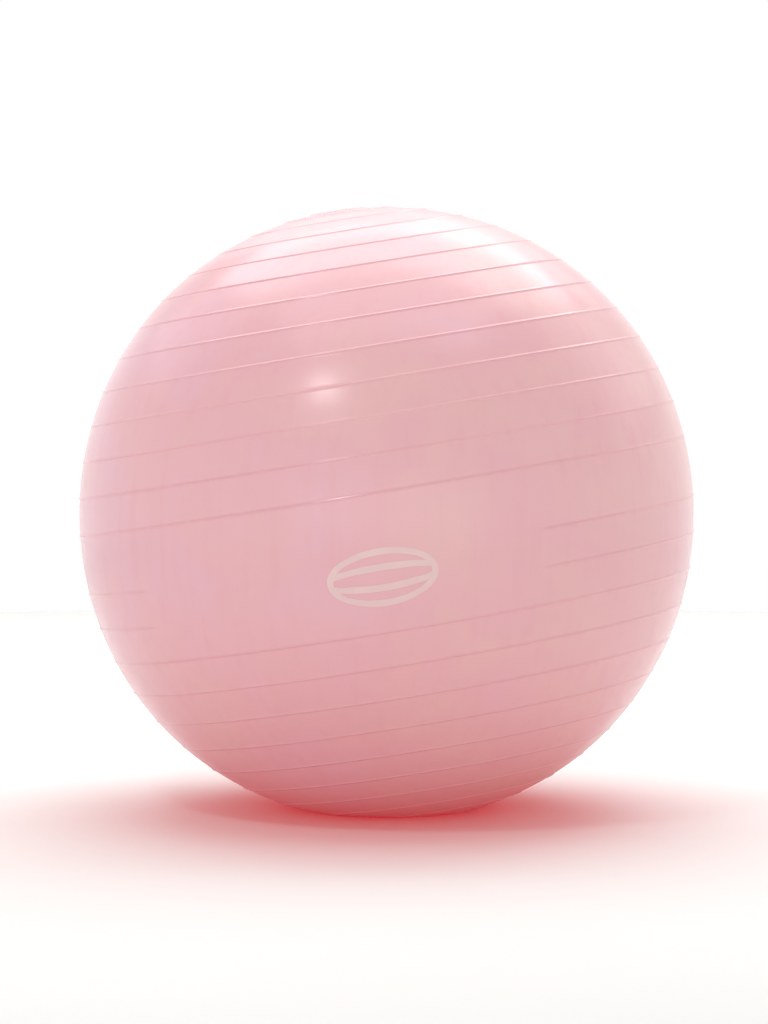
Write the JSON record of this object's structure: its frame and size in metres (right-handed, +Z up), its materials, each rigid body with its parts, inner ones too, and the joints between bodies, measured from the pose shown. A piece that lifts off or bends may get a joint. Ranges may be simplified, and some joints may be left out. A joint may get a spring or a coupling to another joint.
{
  "type": "exercise ball",
  "caption": "Inflated hollow vinyl exercise ball with raised grip ribs, a plain front panel with a printed mark, a moulded valve sleeve and its push-in plug.",
  "frame": {"origin": "middle of the flat patch that the ball rests on, at floor level", "axes": "+Z up, -Y towards the front with the plain panel and the printed mark, +X to the right seen from the front"},
  "size_m": [0.6512, 0.6506, 0.6368],
  "materials": {
    "skin_vinyl": "slightly translucent pink soft vinyl, satin gloss",
    "mark_ink": "thin pale pink ink, semi-matt",
    "valve_vinyl": "moulded pink soft vinyl, satin",
    "plug_vinyl": "firm off-white vinyl, satin"
  },
  "bodies": {
    "ball": {"skin": "skin_vinyl", "valve_sleeve": "valve_vinyl", "printed_mark": "mark_ink"},
    "plug": {"plug": "plug_vinyl"}
  },
  "joints": [
    {"name": "plug_slide", "type": "slide", "parent": "ball", "child": "plug", "axis": [0, 0.9992, -0.0405], "range_m": [0, 0.03]}
  ]
}
